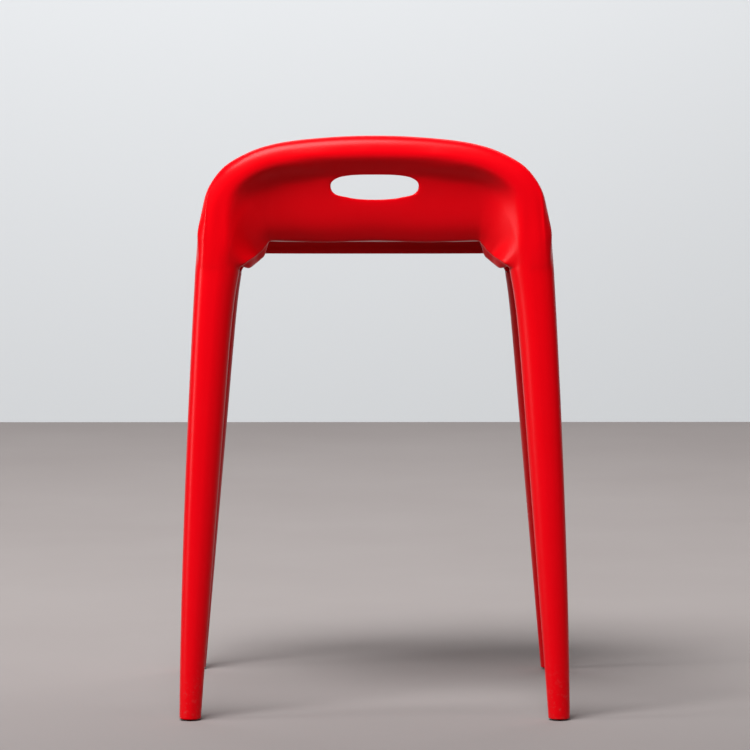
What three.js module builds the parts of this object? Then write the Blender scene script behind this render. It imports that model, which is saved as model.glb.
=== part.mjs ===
// A stacking stool: one moulded body, which is a thin seat shell with a raised back rim and a hand slot
// that flows into four hollow tapered legs, and in the end of each leg a press-in plug with a floor pad.
// Millimetres, +Z up. The slotted back faces -Y, and the origin is on the floor under the middle.
import * as THREE from "three";
import { mergeVertices } from "three/addons/utils/BufferGeometryUtils.js";

const { lerp, smoothstep, degToRad } = THREE.MathUtils;

// Heights above the floor
const rimHeight = 593;
const panelEdgeHeight = 484.6;
const panelEdgeWave = 0.8;
const seatHeight = 476;
const seatFrontHeight = 489;
const seatBackHeight = 490;
const frontEdgeHeight = 451.7;
const rearShoulderHeight = 456;
const frontShoulderHeight = 432;

// Half widths, from the middle plane
const legTopHalfWidth = 182;
const footHalfWidth = 198.4;
const frontFootSpread = 4.8;
const rearPivotHalfWidth = 104;
const frontPivotHalfWidth = 118;

// Legs: width at the rear shoulder and at the floor
const legTopWidth = 40.7;
const footWidth = 21.6;
const legKnee = 4.3;
const legKneeReach = 110;
const legWall = 4;
const legEndClearance = 1;
const legEndRounding = 3;
const boreRadius = 6.4;
const boreDepth = 30;
const boreTopDrop = 18;

// Shell
const shellThickness = 5.5;
const panelThickness = 6.5;
const backLean = 6;
const sideWaist = 5;
const rimDepth = 20;
const rimDrop = 37;
const recessDepth = 7.5;
const recessLean = 21;
const recessFade = 22;
const recessLowHalfWidth = 92;
const recessHighHalfWidth = 80;
const recessFullHalfWidth = 151;
const edgeTuck = 8;
const edgeTuckReach = 36;
const cornerBead = 11.8;
const cornerBeadDepth = 14;
const cornerSpread = 34;
const frontRollDepth = 19;
const frontRollDrop = 17;

// Hand slot
const slotWidth = 88.8;
const slotHeight = 26;
const slotCentreHeight = 540.2;
const slotLip = 2.2;

// Plugs and pads
const fitGap = 0.3;
const plugLength = 24;
const plugHeadHeight = 4;
const plugNeckDepth = 0.9;
const plugRibHeight = 2.5;
const plugTipTaper = 1.8;
const padPocketRadius = 5.2;
const padPocketDepth = 1.7;
const padRounding = 0.5;

// Outlines, as shares of the run and rise that they follow
const archRunShares = [0, 0.2, 0.42, 0.565, 0.678, 0.806, 0.875, 0.929, 0.962, 0.985, 1];
const archRiseShares = [1, 0.993, 0.968, 0.936, 0.89, 0.801, 0.713, 0.596, 0.446, 0.265, 0];
const edgeRunShares = [0.058, 0.164, 0.26, 0.391, 0.552, 0.712, 0.833, 0.927, 1];
const edgeRiseShares = [0.99, 0.9, 0.735, 0.585, 0.455, 0.355, 0.235, 0.11, -0.08];
const frontRunShares = [0, 0.4, 0.64, 0.8, 0.93, 1];
const frontRiseShares = [1, 0.985, 0.9, 0.76, 0.46, 0];
const filletRunShares = [0, 0.3, 0.62, 0.88, 1];
const filletRiseShares = [1, 0.97, 0.78, 0.42, 0];
const belowShares = [0.95, 0.9];

// Curves of the surface
const legFlarePower = 1.55;
const legKneePower = 3.2;
const legSquarePower = 2.5;
const legOutsidePower = 2.9;
const legInsidePower = 2;
const seatBackPower = 2.4;
const seatFrontPower = 2;
const shoulderFallPower = 6;
const slotTopPower = 3.1;
const slotBottomPower = 2.35;
const slotRoundingReach = 2.2;
const edgeTuckPower = 3;
const recessSidePower = 1.9;
const outPower = 5;
const seatLowShare = 0.08;
const shoulderRunShare = 0.3;
const lipShare = 0.3;
const nearShare = 0.9;
const rimBackDepthShares = [0.36, 0.5];
const rimBackDropShares = [0.15, 0.6];
const scoopAngles = [25, 51, 76];
const scoopDrop = 2;

// The body's mesh: stations along the arch from the crown to the floor, and rows across it
const slotShares = [0, 0.2, 0.4, 0.6, 0.8, 1];
const slotWallShares = [0.3, 0.7];
const crownShares = [0.56, 0.71, 0.865];
const lipTurnStart = 74;
const faceTurnStart = 30;
const depthTurnStart = 40;
const underTurnStart = 50;
const underTurnEnd = 60;
const beadTurns = [0, 18, 60, 84];
const cornerAngles = [0, 8, 16, 24, 32, 40, 48, 56, 63, 69, 75, 80, 85, 90];
const legShares = [0.035, 0.08, 0.15, 0.26, 0.4, 0.55, 0.7, 0.84, 0.94];
const boreShares = [0.12, 0.35, 0.65, 0.93, 1];
const boreCloseShare = 0.5;
const endAngles = [0, 30, 60, 90];
const belowSlotShares = [0, 0.05, 0.18];
const aboveSlotShares = [0.2, 0.43, 0.66, 0.87, 1];
const midDepthShares = [0.12, 0.26, 0.42, 0.58, 0.73, 0.85, 0.94];
const frontRollAngles = [0, 30, 60, 90];
const frontDropShares = [0.3, 0.6, 0.83, 1];
const underCornerShare = 0.35;
const underStartShare = 0.08;
const underEndShare = 0.86;
const outlineSteps = 120;
const skinPasses = 12;
const underPasses = 3;
const relaxShare = 0.5;
const slotBands = 4;
const midRows = 6;
const frontRows = 10;
const underRearRows = 6;
const underFrontRows = 4;
const firstTurn = 24;
const lastTurn = 216;
const plugSides = 24;

const slotBottomRow = belowSlotShares.length;
const slotTopRow = slotBottomRow + slotBands;
const crestRow = slotTopRow + aboveSlotShares.length;
const slotTopInnerRow = crestRow + rimBackDepthShares.length + 1;
const slotBottomInnerRow = slotTopInnerRow + slotBands;
const rearRows = slotBottomInnerRow + scoopAngles.length;
const frontRow = rearRows + midRows;
const rows = frontRow + frontRows;
const dropRow = rows - frontDropShares.length;
const rollRow = dropRow - frontRollAngles.length;
const slotStations = slotShares.length - 1;
const mouthHalfWidth = slotWidth / 2 + slotLip;
const mouthHalfHeight = slotHeight / 2 + slotLip;
const mouthBottomHeight = slotCentreHeight - mouthHalfHeight;

// Leg outlines: the outer face flares slightly towards the floor, and the inner one is straight
// up to the knee, where it curves in under the seat.
function legOuter(z) {
  const rise = Math.max(0, z) / rearShoulderHeight;
  return lerp(footHalfWidth, legTopHalfWidth, rise ** legFlarePower);
}

function legInner(z) {
  const straight = lerp(footHalfWidth - footWidth, legTopHalfWidth - legTopWidth, z / rearShoulderHeight);
  const knee = Math.max(0, 1 - (rearShoulderHeight - z) / legKneeReach) ** legKneePower;
  return straight - legKnee * knee;
}

// The front feet stand a little wider apart than the rear ones.
function legAxis(front, z) {
  const centre = (legOuter(z) + legInner(z)) / 2;
  const spread = front ? frontFootSpread * Math.max(0, 1 - z / frontShoulderHeight) : 0;
  return new THREE.Vector3(centre + spread, front ? centre : -centre, z);
}

// A level section of a leg, a rounded square: turn 0 points to the middle of the stool, and a quarter
// turn to the back or the front. On that open side the outer corner is squarer and the inner one rounder.
function legSection(front, turn, z, inset = 0) {
  const axis = legAxis(front, z);
  const half = (legOuter(z) - legInner(z)) / 2 - inset;
  const c = Math.cos(degToRad(turn));
  const s = Math.sin(degToRad(turn));
  const open = c < 0 ? legOutsidePower : legInsidePower;
  const power = lerp(2, s > 0 ? open : legSquarePower, z / rearShoulderHeight);
  const reach = half * (Math.abs(c) ** power + Math.abs(s) ** power) ** (-1 / power);
  return axis.add(new THREE.Vector3(-c * reach, (front ? 1 : -1) * s * reach, 0));
}

// Outlines in the plane across the stool, from the middle outwards and down the leg.
function smoothLine(runs, rises, left, right, low, high) {
  const points = runs.map((run, i) => new THREE.Vector2(lerp(left, right, run), lerp(low, high, rises[i])));
  return new THREE.SplineCurve(points).getPoints(outlineSteps);
}

function mirroredLine(runs, rises, right, low, high) {
  const both = [-runs[1], ...runs];
  return smoothLine(both, [rises[1], ...rises], 0, right, low, high).filter((p) => p.x >= 0);
}

function alongLeg(edge, top) {
  return belowShares.map((share) => new THREE.Vector2(edge(top * share), top * share));
}

const rearOutline = [
  new THREE.Vector2(0, rimHeight),
  ...mirroredLine(archRunShares, archRiseShares, legTopHalfWidth, rearShoulderHeight, rimHeight),
  ...alongLeg(legOuter, rearShoulderHeight),
];

function panelEdge(x) {
  return panelEdgeHeight + panelEdgeWave * Math.cos((2 * Math.PI * x) / rearPivotHalfWidth);
}

const rearEdge = [
  ...slotShares.map((share) => {
    const x = share * rearPivotHalfWidth;
    return new THREE.Vector2(x, panelEdge(x));
  }),
  ...smoothLine(
    edgeRunShares,
    edgeRiseShares,
    rearPivotHalfWidth,
    legInner(rearShoulderHeight),
    rearShoulderHeight,
    panelEdgeHeight,
  ),
  ...alongLeg(legInner, rearShoulderHeight),
];

const frontOutline = [
  new THREE.Vector2(0, seatFrontHeight),
  ...mirroredLine(
    frontRunShares,
    frontRiseShares,
    legOuter(frontShoulderHeight),
    frontShoulderHeight,
    seatFrontHeight,
  ),
  ...alongLeg(legOuter, frontShoulderHeight),
];

const frontEdge = [
  new THREE.Vector2(0, frontEdgeHeight),
  ...smoothLine(
    filletRunShares,
    filletRiseShares,
    frontPivotHalfWidth,
    legInner(frontShoulderHeight),
    frontShoulderHeight,
    frontEdgeHeight,
  ),
  ...alongLeg(legInner, frontShoulderHeight),
];

// Stations: upright slices across the crown, then slices that turn about a pivot in each corner.
function makeStation(share, angle) {
  return { share, angle, dx: Math.sin(degToRad(angle)), dz: Math.cos(degToRad(angle)) };
}

const stations = [
  ...slotShares.map((share) => makeStation((share * mouthHalfWidth) / rearPivotHalfWidth, 0)),
  ...crownShares.map((share) => makeStation(share, 0)),
  ...cornerAngles.map((angle) => makeStation(1, angle)),
];
const cornerStation = makeStation(1, 0);

// The pivot lies at the rear one's place for the rear rows, at the front one's for the front rows.
function travelOf(row) {
  return smoothstep(row, rearRows - 1, frontRow);
}

function pivotOf(station, travel) {
  return {
    x: station.share * lerp(rearPivotHalfWidth, frontPivotHalfWidth, travel),
    z: lerp(rearShoulderHeight, frontShoulderHeight, travel),
  };
}

function place(station, row, r, y) {
  const pivot = pivotOf(station, travelOf(row));
  return new THREE.Vector3(pivot.x + r * station.dx, y, pivot.z + r * station.dz);
}

// How far a station's slice runs from its pivot to an outline.
function reachOf(line, station, travel) {
  const { x, z } = pivotOf(station, travel);
  const { dx, dz } = station;
  let far = 0;
  for (let i = 1; i < line.length; i++) {
    const [a, b] = [line[i - 1], line[i]];
    const sx = b.x - a.x;
    const sz = b.y - a.y;
    const cross = dx * sz - dz * sx;
    const along = ((a.x - x) * sz - (a.y - z) * sx) / cross;
    const share = ((a.x - x) * dz - (a.y - z) * dx) / cross;
    if (cross !== 0 && share >= 0 && share <= 1) far = Math.max(far, along);
  }
  return far;
}

// The turn round a leg at which a row lies, from its inner edge to the side between the legs:
// the skin's rows go round the open side of the leg, and the hidden ones the other way.
function turnOf(row, hidden) {
  const front = row >= frontRow;
  const count = (front ? rows - 1 - row : row) + (hidden ? 1 : 0);
  return lerp(firstTurn, hidden ? lastTurn - 360 : lastTurn, count / (front ? frontRows : rearRows));
}

// Where a row lies at the height where the legs part, on the leg or on the side between the legs.
function sidePoint(row, hidden) {
  if (row < rearRows) return legSection(false, turnOf(row, hidden), rearShoulderHeight);
  if (row >= frontRow) return legSection(true, turnOf(row, hidden), frontShoulderHeight);
  const along = (row - rearRows + 1) / (midRows + 1);
  const from = sidePoint(rearRows - 1, false).y;
  const to = sidePoint(frontRow, false).y;
  const z = lerp(rearShoulderHeight, frontShoulderHeight, travelOf(row));
  const x = legOuter(z) - sideWaist * Math.sin(Math.PI * along) - (hidden ? shellThickness : 0);
  return new THREE.Vector3(x, lerp(from, to, along), z);
}

// The back face as a depth: nearly upright, rolled over at the rim, and sunk between the legs.
function backPlane(z) {
  const rise = (z - rearShoulderHeight) / (rimHeight - rearShoulderHeight);
  return -lerp(legTopHalfWidth, legTopHalfWidth - backLean, rise);
}

// The panel lies deeper towards its lower edge, which curves in under it.
function panelFall(z) {
  return Math.min(1, Math.max(0, (rimHeight - z) / (rimHeight - panelEdgeHeight)));
}

function recessAt(z) {
  return recessDepth + recessLean * panelFall(z);
}

function backFace(x, z, fromRim, fromEdge) {
  const half = rimDrop / 2;
  const over = Math.max(0, 1 - fromRim / half);
  const roll = (rimDepth / 2) * (1 - Math.sqrt(Math.max(0, 1 - over * over)));
  const recessHalfWidth = lerp(recessHighHalfWidth, recessLowHalfWidth, panelFall(z));
  const across = Math.max(0, (x - recessHalfWidth) / (recessFullHalfWidth - recessHalfWidth));
  const beside = smoothstep(across ** recessSidePower, 0, 1);
  const sink = recessAt(z) * smoothstep(fromRim, half, half + recessFade);
  const tuck = edgeTuck * Math.max(0, 1 - fromEdge / edgeTuckReach) ** edgeTuckPower;
  return backPlane(z) + roll + (sink + tuck) * (1 - beside);
}

function slotRowHeight(step) {
  return mouthBottomHeight + (2 * mouthHalfHeight * step) / slotBands;
}

function backPoint(row, station) {
  const edge = reachOf(rearEdge, station, 0);
  const rim = reachOf(rearOutline, station, 0);
  const crown = station.angle > 0 ? cornerStation : station;
  const low = reachOf(rearEdge, crown, 0);
  const level = slotRowHeight(Math.min(row, slotTopRow) - slotBottomRow) - rearShoulderHeight;
  const high = reachOf(rearOutline, crown, 0);
  let share = row < slotBottomRow ? belowSlotShares[row] : (level - low) / (high - low);
  if (row > slotTopRow) share = lerp(share, 1, aboveSlotShares[row - slotTopRow - 1]);
  const side = sidePoint(row, false);
  const sideShare = (side.x - pivotOf(station, 0).x - edge) / (rim - edge);
  const turnStart = lerp(lipTurnStart, faceTurnStart, Math.min(1, share / lipShare));
  const r = lerp(edge, rim, lerp(share, sideShare, smoothstep(station.angle, turnStart, 90)));
  const point = place(station, row, r, 0);
  if (station.angle === 0 && row > 0) roundSlot(point);
  const height = station.angle === 0 ? point.z - rearShoulderHeight : r;
  const depth = backFace(point.x, point.z, rim - height, height - edge);
  return point.setY(lerp(depth, side.y, smoothstep(station.angle, depthTurnStart, 90)));
}

// The front edge sinks a little from the middle to the pivot.
function frontFall(station, y) {
  const crown = station.angle > 0 ? cornerStation : station;
  const fall = seatFrontHeight - frontShoulderHeight - reachOf(frontOutline, crown, 1);
  return fall * smoothstep(y, seatLow, frontCrest);
}

// The profile through the middle, from the rim's crown down to the seat and over the front.
const crestDepth = backPlane(rimHeight) + rimDepth / 2;
const scoopTop = mouthBottomHeight - scoopDrop;
const scoopEnd = degToRad(scoopAngles.at(-1));
const scoopRadius = (scoopTop - seatBackHeight) / Math.sin(scoopEnd);
const seatBack = wallDepth(scoopTop) + scoopRadius * (1 - Math.cos(scoopEnd));
const frontFace = -backPlane(frontEdgeHeight);
const frontCrest = frontFace - frontRollDepth;
const seatLow = seatLowShare * frontCrest;

function wallDepth(z) {
  return backPlane(z) + recessAt(z) + panelThickness;
}

function seatLevel(y) {
  if (y < seatLow)
    return lerp(seatHeight, seatBackHeight, ((seatLow - y) / (seatLow - seatBack)) ** seatBackPower);
  return lerp(seatHeight, seatFrontHeight, ((y - seatLow) / (frontCrest - seatLow)) ** seatFrontPower);
}

function crownPoint(row, station) {
  if (row < slotTopInnerRow) {
    const step = row - crestRow - 1;
    const top = pivotOf(station, 0).z + reachOf(rearOutline, station.angle > 0 ? cornerStation : station, 0);
    const y = crestDepth + rimBackDepthShares[step] * rimDepth;
    return { y, z: top - rimBackDropShares[step] * rimDrop };
  }
  if (row <= slotBottomInnerRow) {
    const z = slotRowHeight(slotBottomInnerRow - row);
    return { y: wallDepth(z), z };
  }
  if (row <= rearRows) {
    const scoop = degToRad(scoopAngles[row - slotBottomInnerRow - 1]);
    const y = wallDepth(scoopTop) + scoopRadius * (1 - Math.cos(scoop));
    return { y, z: scoopTop - scoopRadius * Math.sin(scoop) };
  }
  if (row < rollRow) {
    const y = lerp(seatBack, frontCrest, midDepthShares[row - rearRows - 1]);
    return { y, z: seatLevel(y) - frontFall(station, y) };
  }
  if (row < dropRow) {
    const roll = degToRad(frontRollAngles[row - rollRow]);
    const z = seatFrontHeight - frontRollDrop * (1 - Math.cos(roll)) - frontFall(station, frontCrest);
    return { y: frontCrest + frontRollDepth * Math.sin(roll), z };
  }
  const drop = frontDropShares[row - dropRow];
  return { y: frontFace, z: lerp(seatFrontHeight - frontRollDrop, frontEdgeHeight, drop) };
}

// The seat side: the crown's profile across the middle, and a shoulder in each corner
// that passes from the tall back arch to the low front one.
function hullReach(station, depth) {
  const rear = pivotOf(station, 0);
  const front = pivotOf(station, 1);
  return lerp(
    rear.x * station.dx + rear.z * station.dz + reachOf(rearOutline, station, 0),
    front.x * station.dx + front.z * station.dz + reachOf(frontOutline, station, 1),
    depth,
  );
}

// The scoop behind the seat widens towards the corners.
function spreadOf(row) {
  const widest = rearRows - 1;
  return row < widest ? smoothstep(row, crestRow, widest) : 1 - smoothstep(row, widest, rollRow);
}

function hullDepth(y) {
  return smoothstep(y, crestDepth, shoulderRunShare * frontCrest);
}

function seatPoint(row, station) {
  const pivot = pivotOf(station, travelOf(row));
  const crown = crownPoint(row, station);
  if (station.angle === 0) return place(station, row, crown.z - pivot.z, crown.y);
  const side = sidePoint(row, false);
  const spread = cornerSpread * Math.sin(degToRad(2 * station.angle)) * spreadOf(row);
  const y = lerp(crown.y, side.y, smoothstep(station.angle, 0, 90)) + spread;
  const depth = hullDepth(y);
  const offset = pivot.x * station.dx + pivot.z * station.dz;
  const hull = hullReach(station, depth) - offset;
  const hullTop = hullReach(cornerStation, depth) - pivot.z;
  const fall = station.dz ** shoulderFallPower;
  const level = makeStation(1, 90);
  const shortfall = hullReach(level, hullDepth(side.y)) - side.x;
  const sunk = (hullTop - (crown.z - pivot.z)) * fall;
  return place(station, row, hull - sunk - shortfall * smoothstep(station.angle, faceTurnStart, 90), y);
}

// The front face, from the end of the front roll down to its edge.
function frontPoint(row, station) {
  const side = sidePoint(row, false);
  const top = seatPoint(dropRow - 1, station);
  const pivot = pivotOf(station, 1);
  const topReach = (top.x - pivot.x) * station.dx + (top.z - pivot.z) * station.dz;
  const edge = reachOf(frontEdge, station, 1);
  const drop = frontDropShares[row - dropRow];
  const turned = smoothstep(station.angle, lerp(faceTurnStart, lipTurnStart, drop), 90);
  const y = lerp(frontFace, side.y, smoothstep(station.angle, 0, 90));
  return place(station, row, lerp(lerp(topReach, edge, drop), side.x - pivot.x, turned), y);
}

function skinPoint(row, station) {
  if (row <= crestRow) return backPoint(row, station);
  if (row >= dropRow) return frontPoint(row, station);
  return seatPoint(row, station);
}

// In each corner the outermost row is brought out to the outline.
function bringOut(skin, station, line, travel, nearness) {
  const pivot = pivotOf(station, travel);
  const reaches = skin.map(({ x, z }) => (x - pivot.x) * station.dx + (z - pivot.z) * station.dz);
  const near = skin.map(({ y }) => nearness(y));
  const far = Math.max(...reaches.filter((_, row) => near[row] > nearShare));
  const short = reachOf(line, station, travel) - far;
  skin.forEach((point, row) => {
    const push = short * near[row] * Math.min(1, Math.max(0, reaches[row] / far)) ** outPower;
    point.x += push * station.dx;
    point.z += push * station.dz;
  });
}

function bringOutCorner(skin, station) {
  if (station.angle === 0) return;
  bringOut(skin, station, rearOutline, 0, (y) => 1 - smoothstep(y, crestDepth, 0));
  bringOut(skin, station, frontOutline, 1, (y) => smoothstep(y, 0, frontCrest));
}

// Evens out a part of a face: each point is drawn to the lines between its neighbours on both sides.
function pointBetween(point, a, b) {
  const near = point.distanceTo(a);
  return a.clone().lerp(b, near / (near + point.distanceTo(b)));
}

function relax(face, firstRow, lastRow, passes) {
  for (let pass = 0; pass < passes; pass++) {
    const before = face.map((line) => line.map((point) => point.clone()));
    const mirrored = before[1].map(({ x, y, z }) => new THREE.Vector3(-x, y, z));
    for (let i = 0; i + 2 < stations.length; i++) {
      const last = before[i - 1] ?? mirrored;
      const start = i > slotStations ? firstRow : Math.max(firstRow, slotBottomInnerRow + 1);
      for (let row = start; row <= lastRow; row++) {
        const point = before[i][row];
        const across = pointBetween(point, last[row], before[i + 1][row]);
        const along = pointBetween(point, before[i][row - 1], before[i][row + 1]);
        face[i][row].lerp(across.add(along).divideScalar(2), relaxShare);
      }
    }
  }
}

// The underside: up behind the panel's edge, with a bead that hangs behind it in each corner,
// forwards under the seat, and down to the front edge.
function underLevel(station, skin, y) {
  const inward = new THREE.Vector3(-station.dx, 0, -station.dz).multiplyScalar(shellThickness);
  for (let row = crestRow + 2; row + 1 < dropRow; row++) {
    const [a, b] = [skin[row], skin[row + 1]];
    if (y < a.y || y > b.y) continue;
    return a.clone().lerp(b, (y - a.y) / (b.y - a.y)).add(inward);
  }
  return skin[crestRow + 2].clone().setY(y).add(inward);
}

function hiddenPoint(row, station, skin) {
  const back = new THREE.Vector3(0, shellThickness, 0);
  const rearLip = skin[0].clone().add(back);
  const frontLip = skin[rows - 1].clone().sub(back);
  const rearDepth = lerp(
    lerp(rearLip.y, seatBack, underCornerShare),
    skin[slotBottomRow].y + 2 * shellThickness,
    smoothstep(station.angle, 0, underTurnEnd),
  );
  const rearCorner = underLevel(station, skin, Math.max(rearLip.y + shellThickness / 2, rearDepth));
  const frontCorner = underLevel(station, skin, frontLip.y - shellThickness / 2);
  const start = lerp(seatBack, frontCrest, underStartShare);
  const end = lerp(seatBack, frontCrest, underEndShare);
  const lastRow = rows - 1 - underFrontRows;
  let under;
  if (row < underRearRows) {
    const share = row / underRearRows;
    const [none, full, waning, gone] = beadTurns;
    const corner = smoothstep(station.angle, none, full) * (1 - smoothstep(station.angle, waning, gone));
    const sag = corner * cornerBead * Math.sin(Math.PI * Math.min(1, 2 * share));
    under = rearLip.lerp(rearCorner, lerp(share, share ** 2, corner));
    under.y += corner * cornerBeadDepth * 4 * share * (1 - share);
    under.z -= sag;
  } else if (row > lastRow) under = frontLip.lerp(frontCorner, (rows - 1 - row) / underFrontRows);
  else {
    let y = lerp(start, end, (row - rearRows) / midRows);
    if (row < rearRows) y = lerp(rearCorner.y, start, (row - underRearRows) / (rearRows - underRearRows));
    if (row > frontRow) y = lerp(end, frontCorner.y, (row - frontRow) / (lastRow - frontRow));
    under = underLevel(station, skin, y);
  }
  const fromLip = Math.min(row / underRearRows, (rows - 1 - row) / underFrontRows, 1);
  const turnStart = lerp(lipTurnStart, underTurnStart, fromLip);
  return under.lerp(sidePoint(row, true), smoothstep(station.angle, turnStart, 90));
}

// The slot's outline: the square mesh round it is drawn in to a flatter upper and a rounder lower curve.
function roundSlot(point) {
  const u = point.x / mouthHalfWidth;
  const v = (point.z - slotCentreHeight) / mouthHalfHeight;
  const power = v > 0 ? slotTopPower : slotBottomPower;
  const square = Math.max(Math.abs(u), Math.abs(v));
  if (square === 0) return;
  const round = (Math.abs(u) ** power + Math.abs(v) ** power) ** (1 / power);
  const scale = lerp(square / round, 1, smoothstep(square, 1, slotRoundingReach));
  point.x *= scale;
  point.z = slotCentreHeight + (point.z - slotCentreHeight) * scale;
}

// A closed surface made of quads, for one half of the body, then mirrored.
class Surface {
  constructor() {
    this.points = [];
    this.triangles = [];
  }
  add(point) {
    return this.points.push(point) - 1;
  }
  quad(a, b, c, d) {
    this.triangles.push(a, b, c, a, c, d);
  }
  // Joins two rings of as many points, and closes the last one on a point.
  tube(rings) {
    for (let i = 1; i < rings.length; i++) {
      const [a, b] = [rings[i - 1], rings[i]];
      a.forEach((_, j) => this.quad(a[j], b[j], b[(j + 1) % b.length], a[(j + 1) % a.length]));
    }
  }
  close(ring, point) {
    const tip = this.add(point);
    ring.forEach((id, j) => this.triangles.push(id, tip, ring[(j + 1) % ring.length]));
  }
  mirror() {
    const count = this.points.length;
    this.points.slice().forEach(({ x, y, z }) => this.add(new THREE.Vector3(-x, y, z)));
    const half = this.triangles.slice();
    for (let i = 0; i < half.length; i += 3)
      this.triangles.push(half[i] + count, half[i + 2] + count, half[i + 1] + count);
  }
  geometry() {
    const made = new THREE.BufferGeometry().setFromPoints(this.points);
    made.setIndex(this.triangles);
    return mergeVertices(made);
  }
}

function addShell(surface) {
  const open = stations.map((station) => Array.from({ length: rows }, (_, row) => skinPoint(row, station)));
  relax(open, crestRow + 2, rollRow - 1, skinPasses);
  stations.forEach((station, i) => bringOutCorner(open[i], station));
  const closed = stations.map((station, i) => open[i].map((_, row) => hiddenPoint(row, station, open[i])));
  relax(closed, underRearRows - 2, rows + 1 - underFrontRows, underPasses);
  const crown = open.filter((_, i) => stations[i].angle === 0);
  crown.forEach((skin) => skin.slice(crestRow + 1, rearRows).forEach(roundSlot));
  const skins = open.map((skin) => skin.map((point) => surface.add(point)));
  const hiddens = closed.map((hidden) => hidden.map((point) => surface.add(point)));
  const inSlot = (i, row) =>
    i < slotStations &&
    ((row >= slotBottomRow && row < slotTopRow) || (row >= slotTopInnerRow && row < slotBottomInnerRow));
  for (let i = 0; i + 1 < stations.length; i++) {
    const [a, b, c, d] = [skins[i], skins[i + 1], hiddens[i], hiddens[i + 1]];
    for (let row = 0; row + 1 < rows; row++) {
      if (!inSlot(i, row)) surface.quad(a[row], b[row], b[row + 1], a[row + 1]);
      surface.quad(c[row], c[row + 1], d[row + 1], d[row]);
    }
    surface.quad(a[0], c[0], d[0], b[0]);
    surface.quad(a[rows - 1], b[rows - 1], d[rows - 1], c[rows - 1]);
  }
  addSlotWall(surface, skins);
  const [skin, hidden] = [skins.at(-1), hiddens.at(-1)];
  for (let row = rearRows - 1; row < frontRow; row++)
    surface.quad(skin[row], hidden[row], hidden[row + 1], skin[row + 1]);
  return { skin, hidden };
}

// The slot goes through the panel: its wall narrows from the mouth on the back face
// and widens again to the mouth on the seat side.
function addSlotWall(surface, skins) {
  const end = skins[slotStations];
  const columns = skins.slice(0, slotStations + 1);
  const top = columns.map((skin) => [skin[slotTopRow], skin[slotTopInnerRow]]);
  const bottom = columns.map((skin) => [skin[slotBottomRow], skin[slotBottomInnerRow]]);
  const side = [];
  for (let step = slotBands - 1; step > 0; step--)
    side.push([end[slotBottomRow + step], end[slotBottomInnerRow - step]]);
  const lines = [...top, ...side, ...bottom.reverse()].map(([outer, inner]) => {
    const throat = slotWallShares.map((share) => {
      const point = surface.points[outer].clone().lerp(surface.points[inner], share);
      point.x *= slotWidth / 2 / mouthHalfWidth;
      point.z = slotCentreHeight + ((point.z - slotCentreHeight) * slotHeight) / 2 / mouthHalfHeight;
      return surface.add(point);
    });
    return [outer, ...throat, inner];
  });
  for (let j = 1; j < lines.length; j++) {
    const [a, b] = [lines[j - 1], lines[j]];
    for (let k = 1; k < a.length; k++) surface.quad(a[k - 1], a[k], b[k], b[k - 1]);
  }
}

// A leg below the shell: level rings down to the rounded end, then the bore back up to its closed top.
function addLeg(surface, front, skin, hidden) {
  const first = front ? frontRow : 0;
  const top = front ? frontShoulderHeight : rearShoulderHeight;
  const turns = [
    ...skin.map((_, i) => turnOf(first + i, false)),
    ...hidden.map((_, i) => turnOf(first + i, true)).reverse(),
  ];
  const ring = (z, inset) => turns.map((turn) => surface.add(legSection(front, turn, z, inset)));
  const rings = [[...skin, ...hidden.slice().reverse()]];
  for (const share of legShares) rings.push(ring(lerp(top, 0, share), 0));
  for (const angle of endAngles) {
    const inset = legEndRounding * (1 - Math.cos(degToRad(angle)));
    const z = legEndClearance + legEndRounding * (1 - Math.sin(degToRad(angle)));
    rings.push(ring(z, inset));
  }
  const boreTop = top - boreTopDrop;
  const boreHeights = boreShares.map((share) => lerp(boreDepth, boreTop, share));
  for (const z of [legEndClearance, boreDepth, ...boreHeights]) {
    const half = (legOuter(z) - legInner(z)) / 2;
    const opened = lerp(boreRadius, half - legWall, smoothstep(z, boreDepth, 2 * boreDepth));
    const radius = z < boreTop ? opened : boreCloseShare * opened;
    rings.push(ring(z, half - radius));
  }
  surface.tube(rings);
  surface.close(rings.at(-1), legAxis(front, boreTop));
}

function makeBody() {
  const surface = new Surface();
  const { skin, hidden } = addShell(surface);
  addLeg(surface, false, skin.slice(0, rearRows), hidden.slice(0, rearRows));
  addLeg(surface, true, skin.slice(frontRow), hidden.slice(frontRow));
  surface.mirror();
  return surface.geometry();
}

// A turned piece inside a leg end: it stands level, and leans along the leg's own axis.
function makeTurned(profile, front, side, bottom) {
  const points = profile.map(([r, z]) => new THREE.Vector2(r, z));
  const geometry = new THREE.LatheGeometry(points, plugSides);
  geometry.deleteAttribute("normal");
  geometry.deleteAttribute("uv");
  geometry.rotateX(Math.PI / 2);
  const low = legAxis(front, bottom);
  const high = legAxis(front, bottom + plugLength);
  const lean = high.clone().sub(low).divideScalar(plugLength);
  const shear = new THREE.Matrix4().makeShear(0, 0, 0, 0, side * lean.x, lean.y);
  geometry.applyMatrix4(shear);
  geometry.translate(side * low.x, low.y, bottom);
  return mergeVertices(geometry);
}

const plugBottom = legEndClearance + fitGap;

function makePlug(front, side) {
  const head = boreRadius - fitGap;
  const neck = head - plugNeckDepth;
  const tip = head - plugTipTaper;
  const ribGap = (plugLength - plugHeadHeight - 2 * plugRibHeight) / 3;
  const profile = [
    [0, padPocketDepth],
    [padPocketRadius, padPocketDepth],
    [padPocketRadius, 0],
    [head, 0],
    [head, plugHeadHeight],
    [neck, plugHeadHeight],
  ];
  for (let rib = 1; rib <= 2; rib++) {
    const low = plugHeadHeight + rib * ribGap + (rib - 1) * plugRibHeight;
    profile.push([neck, low], [head, low], [neck, low + plugRibHeight]);
  }
  profile.push([tip, plugLength], [0, plugLength]);
  return makeTurned(profile, front, side, plugBottom);
}

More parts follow.
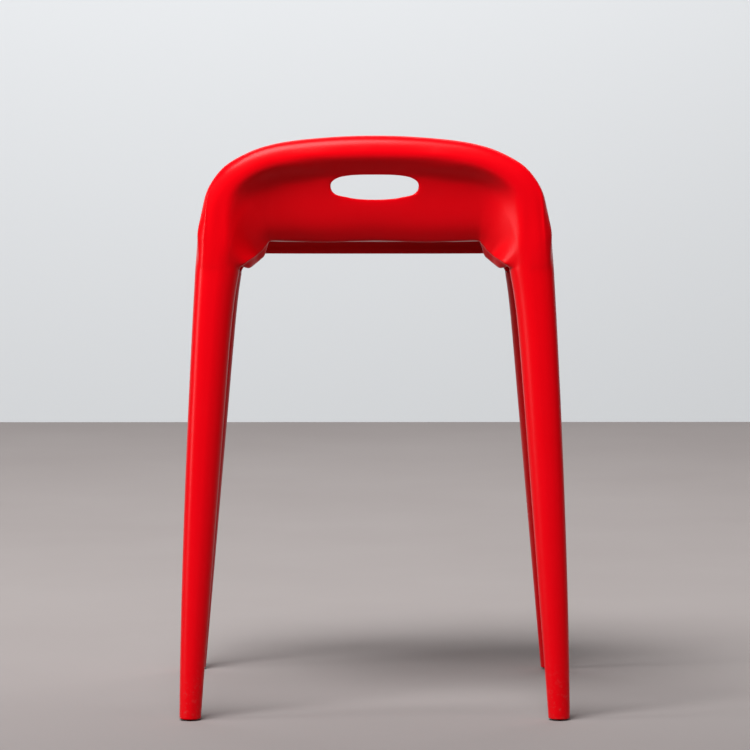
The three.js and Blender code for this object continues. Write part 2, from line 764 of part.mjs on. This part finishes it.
function makePad(front, side) {
  const radius = padPocketRadius - fitGap;
  const height = plugBottom + padPocketDepth - fitGap;
  const profile = [
    [0, 0],
    [radius - padRounding, 0],
    [radius, padRounding],
    [radius, height],
    [0, height],
  ];
  return makeTurned(profile, front, side, 0);
}

const finishes = {
  body: { color: 0xe0000f, roughness: 0.38, metalness: 0 },
  plug: { color: 0xad000c, roughness: 0.55, metalness: 0 },
  pad: { color: 0x202022, roughness: 0.85, metalness: 0 },
};

const stool = new THREE.Group();

function addPiece(name, geometry, finish) {
  const piece = new THREE.Mesh(geometry, new THREE.MeshStandardMaterial(finish));
  piece.name = name;
  stool.add(piece);
}

addPiece("moulded_body", makeBody(), finishes.body);
for (const end of ["rear", "front"]) {
  for (const hand of ["left", "right"]) {
    const front = end === "front";
    const side = hand === "right" ? 1 : -1;
    addPiece(`leg_plug_${end}_${hand}`, makePlug(front, side), finishes.plug);
    addPiece(`floor_pad_${end}_${hand}`, makePad(front, side), finishes.pad);
  }
}

export default stool;
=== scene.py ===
# %% [markdown]
# # A stacking stool in one piece
#
# The stool is one moulding of red plastic: a dished seat with a raised back rim and a hand slot, which
# runs without a seam into four hollow, tapered legs. A plug with a soft pad closes the end of each leg.
# This lesson starts from the measured parts, gives the moulding the smooth skin of the real one, gives each
# finish its own material, and sets up a camera and soft light as a photographer would.

# %% Load the measured parts
import math

import bpy
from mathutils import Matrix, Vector


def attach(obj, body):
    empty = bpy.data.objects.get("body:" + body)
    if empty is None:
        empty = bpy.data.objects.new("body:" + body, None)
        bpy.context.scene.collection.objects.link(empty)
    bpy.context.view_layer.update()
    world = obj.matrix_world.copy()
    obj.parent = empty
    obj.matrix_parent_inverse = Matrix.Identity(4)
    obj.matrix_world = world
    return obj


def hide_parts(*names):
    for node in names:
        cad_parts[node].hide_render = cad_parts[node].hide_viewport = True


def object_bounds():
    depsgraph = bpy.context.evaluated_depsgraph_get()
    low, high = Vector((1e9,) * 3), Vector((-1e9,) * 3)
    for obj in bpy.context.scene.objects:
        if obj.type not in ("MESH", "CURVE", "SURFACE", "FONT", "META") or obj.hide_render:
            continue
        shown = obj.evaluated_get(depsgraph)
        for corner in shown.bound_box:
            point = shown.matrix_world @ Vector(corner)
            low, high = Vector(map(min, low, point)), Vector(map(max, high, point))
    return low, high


quarter_turn = math.pi / 2

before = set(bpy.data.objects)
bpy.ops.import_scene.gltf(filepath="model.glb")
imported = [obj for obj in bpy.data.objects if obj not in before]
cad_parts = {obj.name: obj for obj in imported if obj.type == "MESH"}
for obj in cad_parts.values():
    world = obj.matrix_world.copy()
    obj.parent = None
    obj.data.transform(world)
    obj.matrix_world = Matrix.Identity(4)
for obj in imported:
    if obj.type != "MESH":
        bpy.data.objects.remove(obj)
measured_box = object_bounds()
leg_ends = [(side, end) for side in ("left", "right") for end in ("rear", "front")]
print("parts:", sorted(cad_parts))

# %% [markdown]
# ## The camera
#
# The stool was photographed from behind with a long lens, from almost six metres away and a little above the
# rim. A long lens keeps the far legs almost as large as the near ones, so the distance and the focal length
# are found together, from how far the far feet stand inside and above the near ones. Lengths are in metres.

# %% Camera
camera_height = 0.839
camera_distance = 5.795
camera_offset = -0.023
look_down = math.radians(4.965)
look_left = math.radians(-0.238)
lens = 267.2
view_range = 100

camera_data = bpy.data.cameras.new("long_lens")
camera_data.lens = lens
camera_data.clip_end = view_range
camera = bpy.data.objects.new("camera", camera_data)
bpy.context.scene.collection.objects.link(camera)
camera.location = (camera_offset, -camera_distance, camera_height)
camera.rotation_euler = (quarter_turn - look_down, 0, look_left)
bpy.context.scene.camera = camera
print("lens", lens, "mm at", round(camera.location.length, 2), "m")

# %% [markdown]
# ## The skin of the moulding
#
# The measured body is a net of flat facets. A moulding has no facets: its surface curves evenly, and every
# edge has the small radius that lets it leave the mould. A subdivision surface gives both at once, if the
# net is made of four-sided faces that follow the form. So the triangles of a copy are first joined to quads,
# as far as they lie in a regular grid, and only the mouths of the holes in the leg ends are creased.

# %% Small helpers for selecting
def select_only(piece):
    bpy.ops.object.select_all(action="DESELECT")
    piece.select_set(True)
    bpy.context.view_layer.objects.active = piece


def copy_of(node, name):
    piece = bpy.data.objects.new(name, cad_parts[node].data.copy())
    bpy.context.scene.collection.objects.link(piece)
    select_only(piece)
    return piece


# %% Join the copy's triangles to quads
merge_distance = 0.00002
any_angle = math.pi
grid_weight = 2

stool_body = copy_of("moulded_body", "stool_body")
bpy.ops.object.mode_set(mode="EDIT")
bpy.ops.mesh.select_all(action="SELECT")
bpy.ops.mesh.remove_doubles(threshold=merge_distance)
bpy.ops.mesh.tris_convert_to_quads(
    face_threshold=any_angle, shape_threshold=any_angle, topology_influence=grid_weight
)
bpy.ops.object.mode_set(mode="OBJECT")
quads = sum(len(face.vertices) == 4 for face in stool_body.data.polygons)
print("quads:", quads, "of", len(stool_body.data.polygons), "faces")

# %% [markdown]
# The end of each leg is a flat ring round the hole that the plug goes into. The ring's inner edge stays
# sharp, so its edges get a full crease: without it the smooth skin would open into a funnel there.

# %% Crease the mouth of the hole in each leg end
mouth_radius = 0.007
end_height = 0.0012
full_crease = 1.0


def middle_of(part):
    corners = [Vector(corner) for corner in part.bound_box]
    return (sum(corners, Vector()) / len(corners)).xy


leg_middles = [middle_of(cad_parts[f"floor_pad_{end}_{side}"]) for side, end in leg_ends]


def at_mouth(point):
    return point.z < end_height and min((point.xy - middle).length for middle in leg_middles) < mouth_radius


crease = stool_body.data.attributes.new("crease_edge", "FLOAT", "EDGE")
mouths = 0
for edge in stool_body.data.edges:
    if all(at_mouth(stool_body.data.vertices[i].co) for i in edge.vertices):
        crease.data[edge.index].value = full_crease
        mouths += 1
print("creased edges:", mouths)

# %% [markdown]
# A subdivision surface runs inside the net that steers it, so it would make the rim lower and the slot wider
# than they are. So the net is swelled first: each of its points moves out by almost as much as the smooth
# skin misses it, a few times over, until the skin passes through the measured points.

# %% Swell the net until the skin passes through it
swell_rounds = 4
swell_share = 0.9
trial_level = 1

skin = stool_body.modifiers.new("skin", "SUBSURF")
skin.levels = skin.render_levels = trial_level
skin.boundary_smooth = "PRESERVE_CORNERS"
measured = [point.co.copy() for point in stool_body.data.vertices]
for _ in range(swell_rounds):
    smooth = stool_body.evaluated_get(bpy.context.evaluated_depsgraph_get())
    missed = [goal - smooth.data.vertices[i].co for i, goal in enumerate(measured)]
    for point, miss in zip(stool_body.data.vertices, missed):
        point.co += swell_share * miss
    stool_body.data.update()

# %% [markdown]
# With the net in place, the skin is made for good, one level finer. Between the measured points it may bulge
# by a tenth of a millimetre, so its own points are held inside the measured box.

# %% Round the whole skin
final_level = 2

skin.levels = skin.render_levels = final_level
bpy.ops.object.modifier_apply(modifier=skin.name)
bpy.ops.object.shade_smooth()
low, high = measured_box
for point in stool_body.data.vertices:
    point.co = [min(max(point.co[axis], low[axis]), high[axis]) for axis in range(3)]
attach(stool_body, "root")
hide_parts("moulded_body")
print("skin faces:", len(stool_body.data.polygons))

# %% [markdown]
# ## Writing materials as sums
#
# A material is a chain of nodes. Written out one by one the chain is hard to read, so a small class wraps a
# socket and gives it the operators of arithmetic: `dirt * 0.3 + 0.4` then adds its own two Math nodes.

# %% A socket that can be added and multiplied
class Wave:
    def __init__(self, finish, socket):
        self.finish = finish
        self.socket = socket

    def math(self, operation, first, second):
        made = self.finish.node("ShaderNodeMath", {"operation": operation}, {0: first, 1: second})
        return made.out("Value")

    def __add__(self, other):
        return self.math("ADD", self, other)

    def __rsub__(self, other):
        return self.math("SUBTRACT", other, self)

    def __mul__(self, other):
        return self.math("MULTIPLY", self, other)

    __radd__ = __add__


class Made:
    def __init__(self, finish, node):
        self.finish = finish
        self.node = node

    def out(self, name):
        return Wave(self.finish, self.node.outputs[name])


# %% [markdown]
# A finish is a material with the few nodes that all of them are made of: noise and height in the stool's own
# coordinates, a smooth ramp, a blend of two colours and a bump. Two of its waves serve the studio only:
# `seen` tells the rays that look from those that carry light, and `front_only` hides the back of a plane.

# %% A material made of a few kinds of node
class Finish:
    # A Mix node keeps its sockets for colours after those for numbers and vectors, so they go by their place.
    first_colour = 6
    second_colour = 7
    mixed_colour = 2

    def __init__(self, name):
        self.material = bpy.data.materials.new(name)
        self.material.use_nodes = True
        self.tree = self.material.node_tree
        self.shader = self.tree.nodes["Principled BSDF"]

    def node(self, kind, settings=None, sockets=None):
        node = self.tree.nodes.new(kind)
        for key, value in (settings or {}).items():
            setattr(node, key, value)
        for key, value in (sockets or {}).items():
            self.feed(node.inputs[key], value)
        return Made(self, node)

    def feed(self, socket, value):
        if isinstance(value, Wave):
            self.tree.links.new(value.socket, socket)
        else:
            socket.default_value = value

    def set(self, **values):
        for key, value in values.items():
            self.feed(self.shader.inputs[key.replace("_", " ")], value)

    def place(self):
        return self.node("ShaderNodeTexCoord").out("Object")

    def noise(self, scale, detail, roughness=0.5):
        sockets = {"Vector": self.place(), "Scale": scale, "Detail": detail, "Roughness": roughness}
        return self.node("ShaderNodeTexNoise", None, sockets).out("Fac")

    def ramp(self, value, low, high):
        sockets = {"Value": value, "From Min": low, "From Max": high}
        return self.node("ShaderNodeMapRange", {"interpolation_type": "SMOOTHSTEP"}, sockets).out("Result")

    def blend(self, factor, first, second):
        sockets = {"Factor": factor, self.first_colour: first, self.second_colour: second}
        return self.node("ShaderNodeMix", {"data_type": "RGBA"}, sockets).out(self.mixed_colour)

    def bump(self, height, distance, strength, under=None):
        sockets = {"Height": height, "Distance": distance, "Strength": strength}
        if under is not None:
            sockets["Normal"] = under
        return self.node("ShaderNodeBump", None, sockets).out("Normal")

    def along(self, axis):
        return self.node("ShaderNodeSeparateXYZ", None, {"Vector": self.place()}).out(axis)

    def seen(self):
        path = self.node("ShaderNodeLightPath")
        return path.out("Is Camera Ray") + path.out("Is Glossy Ray") + path.out("Is Transmission Ray")

    def front_only(self):
        return 1 - self.node("ShaderNodeNewGeometry").out("Backfacing")


# %% [markdown]
# ## The red plastic
#
# The moulding is coloured through, so the red hardly changes over it. What makes it look like plastic is the
# skin: a satin gloss that isn't quite even, the fine grain of the mould's surface, and the slow waves that
# thick sections leave as they cool. The legs are scuffed where shoes and floors touch them.

# %% Red plastic
red_plastic = Finish("satin_red_plastic")
deep_red = (0.70, 0.0003, 0.003, 1)
bright_red = (0.76, 0.0006, 0.006, 1)
scuffed_red = (0.42, 0.10, 0.09, 1)
scuff_fading = 0.3
scuff_dulling = 0.22
satin = 0.26
gloss_spread = 0.05

slow_tone = red_plastic.noise(scale=9.0, detail=3.0)
grain = red_plastic.noise(scale=1700.0, detail=2.0, roughness=0.6)
cooling = red_plastic.noise(scale=14.0, detail=1.0)
smudges = red_plastic.ramp(red_plastic.noise(scale=38.0, detail=5.0, roughness=0.65), low=0.5, high=0.72)
near_floor = 1 - red_plastic.ramp(red_plastic.along("Z"), low=0.004, high=0.075)
scratches = red_plastic.ramp(red_plastic.noise(scale=260.0, detail=4.0, roughness=0.7), low=0.52, high=0.7)
scuffs = scratches * near_floor

red = red_plastic.blend(slow_tone, deep_red, bright_red)
slow_waves = red_plastic.bump(cooling, distance=0.0006, strength=0.5)
red_plastic.set(
    Base_Color=red_plastic.blend(scuffs * scuff_fading, red, scuffed_red),
    Roughness=satin + slow_tone * gloss_spread + smudges * gloss_spread + scuffs * scuff_dulling,
    Normal=red_plastic.bump(grain, distance=0.00006, strength=0.5, under=slow_waves),
    IOR=1.49,
    Specular_IOR_Level=0.12,
)
stool_body.data.materials.clear()
stool_body.data.materials.append(red_plastic.material)
print("red plastic nodes:", len(red_plastic.tree.nodes))

# %% [markdown]
# ## Plugs and pads
#
# The plugs are the same plastic with the matt face of a small mould, and the pads are soft black rubber that
# has picked up dust from the floor. Both are measured parts whose shape is right, so they only get a finish.

# %% Plug plastic and pad rubber
plug_plastic = Finish("matt_dark_red_plastic")
dark_red = (0.36, 0.003, 0.008, 1)
matt_red = (0.44, 0.005, 0.012, 1)
matt = 0.5
matt_spread = 0.12

plug_tone = plug_plastic.noise(scale=60.0, detail=2.0)
plug_grain = plug_plastic.noise(scale=1400.0, detail=3.0)
plug_plastic.set(
    Base_Color=plug_plastic.blend(plug_tone, dark_red, matt_red),
    Roughness=matt + plug_grain * matt_spread,
    Normal=plug_plastic.bump(plug_grain, distance=0.00008, strength=0.6),
)

pad_rubber = Finish("dusty_black_rubber")
clean_black = (0.016, 0.016, 0.017, 1)
dusty_grey = (0.16, 0.15, 0.14, 1)
dust_cover = 0.6
rubber_matt = 0.78
dust_dulling = 0.16

dust = pad_rubber.ramp(pad_rubber.noise(scale=420.0, detail=5.0, roughness=0.7), low=0.42, high=0.75)
pad_grain = pad_rubber.noise(scale=2200.0, detail=3.0)
pad_rubber.set(
    Base_Color=pad_rubber.blend(dust * dust_cover, clean_black, dusty_grey),
    Roughness=rubber_matt + dust * dust_dulling,
    Normal=pad_rubber.bump(pad_grain, distance=0.0001, strength=0.6),
)

foot_finishes = {"leg_plug": plug_plastic, "floor_pad": pad_rubber}
for kind, finish in foot_finishes.items():
    for side, end in leg_ends:
        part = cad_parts[f"{kind}_{end}_{side}"]
        part.data.materials.clear()
        part.data.materials.append(finish.material)
print("plugs and pads:", len(foot_finishes) * len(leg_ends))

# %% [markdown]
# ## Floor, backdrop and light
#
# A pale floor and a paler wall three metres behind, as in a studio. Floor and wall show their front only, so
# that the stool can also be looked at from behind and below. They look pale, but to the light that falls on
# the stool they are darker, so that they don't brighten it from below. Towards the camera the floor is
# painted
# darker: this is painted shade, not a colour of the floor.

# %% Floor and backdrop
studio_width = 24.0
wall_distance = 3.0


def add_plane(name, location, rotation):
    bpy.ops.object.select_all(action="DESELECT")
    bpy.ops.mesh.primitive_plane_add(size=studio_width, location=location, rotation=rotation)
    plane = bpy.context.object
    plane.name = name
    return plane


floor = add_plane("studio_floor", (0, 0, 0), (0, 0, 0))
backdrop = add_plane("studio_wall", (0, wall_distance, 0), (quarter_turn, 0, 0))

floor_finish = Finish("pale_floor_with_painted_shade")
dull_floor = (0.10, 0.09, 0.085, 1)
# The colour of the floor near the camera is painted shade: it stands in for the weaker light there.
painted_shade_floor = (0.215, 0.195, 0.192, 1)
far_floor = ((0.315, 0.283, 0.276, 1), (0.355, 0.323, 0.316, 1))

floor_tone = floor_finish.noise(scale=3.0, detail=4.0)
# The ramp along Y fades the painted shade out, away from the camera.
floor_shade_fade = floor_finish.ramp(floor_finish.along("Y"), low=-0.9, high=0.8)
pale_floor_with_painted_shade = floor_finish.blend(floor_shade_fade, painted_shade_floor, floor_finish.blend(floor_tone, *far_floor))
floor_finish.set(
    Base_Color=floor_finish.blend(floor_finish.seen(), dull_floor, pale_floor_with_painted_shade),
    Roughness=0.9,
    Specular_IOR_Level=0.1,
    Alpha=floor_finish.front_only(),
)
floor.data.materials.append(floor_finish.material)

wall_finish = Finish("pale_wall")
dull_wall = (0.30, 0.30, 0.31, 1)
pale_wall = (0.715, 0.735, 0.755, 1)

wall_finish.set(
    Base_Color=wall_finish.blend(wall_finish.seen(), dull_wall, pale_wall),
    Roughness=0.95,
    Specular_IOR_Level=0.0,
    Alpha=wall_finish.front_only(),
)
backdrop.data.materials.append(wall_finish.material)
print("floor and wall:", studio_width, "m wide, wall at", wall_distance, "m")

# %% [markdown]
# One large soft lamp hangs above and a little to the left, between the camera and the stool: it lights the
# crown of the rim and leaves the recess under it in shade. A tall, narrow strip at the left draws the long
# highlight down the left leg. A weak fill low on the right, which the plastic doesn't mirror, keeps that side
# from going flat, and the last lamp lights only the wall.

# %% Lamps and world
def add_lamp(name, location, target, size, power):
    lamp_data = bpy.data.lights.new(name, "AREA")
    lamp_data.shape = "RECTANGLE"
    lamp_data.size, lamp_data.size_y = size
    lamp_data.energy = power
    lamp = bpy.data.objects.new(name, lamp_data)
    bpy.context.scene.collection.objects.link(lamp)
    lamp.location = location
    lamp.rotation_euler = (Vector(target) - Vector(location)).to_track_quat("-Z", "Y").to_euler()
    return lamp


stool_middle = (0, 0, 0.4)
wall_foot = (0, wall_distance, 0.6)
add_lamp("key_softbox", location=(-0.85, -1.8, 3.45), target=stool_middle, size=(2.0, 1.8), power=218)
add_lamp("left_strip", location=(-3.25, -0.95, 1.1), target=stool_middle, size=(0.9, 1.8), power=54)
fill = add_lamp("right_fill", location=(2.6, -2.0, 0.5), target=stool_middle, size=(1.6, 1.0), power=20)
fill.visible_glossy = False
add_lamp("wall_wash", location=(0, 1.6, 2.8), target=wall_foot, size=(3.0, 0.6), power=55)

cool_grey = (0.80, 0.82, 0.86, 1)
air_strength = 0.03
world = bpy.data.worlds.new("studio_air")
world.use_nodes = True
background = world.node_tree.nodes["Background"]
background.inputs["Color"].default_value = cool_grey
background.inputs["Strength"].default_value = air_strength
bpy.context.scene.world = world
bpy.context.scene.view_settings.view_transform = "Standard"
print("lamps:", [lamp.name for lamp in bpy.data.lights])
